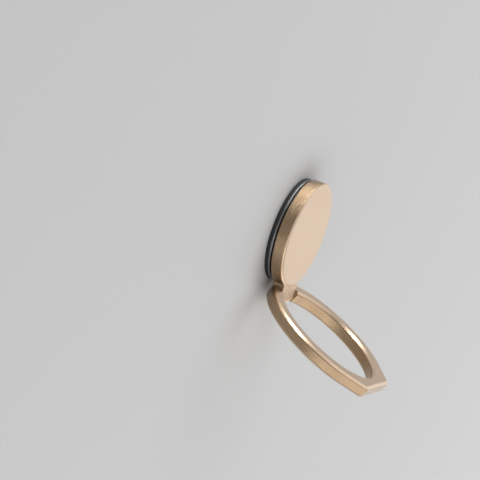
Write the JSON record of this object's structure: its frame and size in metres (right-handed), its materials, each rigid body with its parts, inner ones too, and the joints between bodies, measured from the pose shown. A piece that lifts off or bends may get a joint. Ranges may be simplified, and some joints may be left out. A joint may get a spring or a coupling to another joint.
{
  "type": "phone ring holder",
  "caption": "Stick-on swivelling finger ring for a phone's back: a round cap on an adhesive base, with a bevelled folding ring whose flat foot also props the phone.",
  "frame": {"origin": "centre of the adhesive face, on the swivel axis", "axes": "+Z away from the phone along the swivel axis; X along the hinge pin; the ring stands out towards -Y and +Z at rest"},
  "size_m": [0.0324, 0.0391, 0.0303],
  "materials": {
    "adhesive_foam": "matte black foam tape",
    "black_plastic": "matte",
    "steel": "bright rolled sheet",
    "champagne_cap": "satin champagne gold anodised",
    "champagne_ring": "satin champagne gold anodised, bright bevels"
  },
  "bodies": {
    "base": {"adhesive_pad": "adhesive_foam", "base_plate": "steel", "swivel_rivet": "steel", "slip_washer": "black_plastic", "disc_spring": "steel", "rivet_washer": "steel"},
    "swivel_cap": {"cap": "champagne_cap", "rotor_plate": "steel", "hinge_sleeve": "steel"},
    "finger_ring": {"ring": "champagne_ring", "hinge_pin": "champagne_ring"}
  },
  "joints": [
    {"name": "cap_swivel", "type": "hinge", "parent": "base", "child": "swivel_cap", "pos_m": [0, 0, 0.0017], "axis": [0, 0, 1], "continuous": true},
    {"name": "ring_fold", "type": "hinge", "parent": "swivel_cap", "child": "finger_ring", "pos_m": [0, -0.01373, 0.0033], "axis": [1, 0, 0], "range_deg": [-114.8, 65.2]}
  ]
}
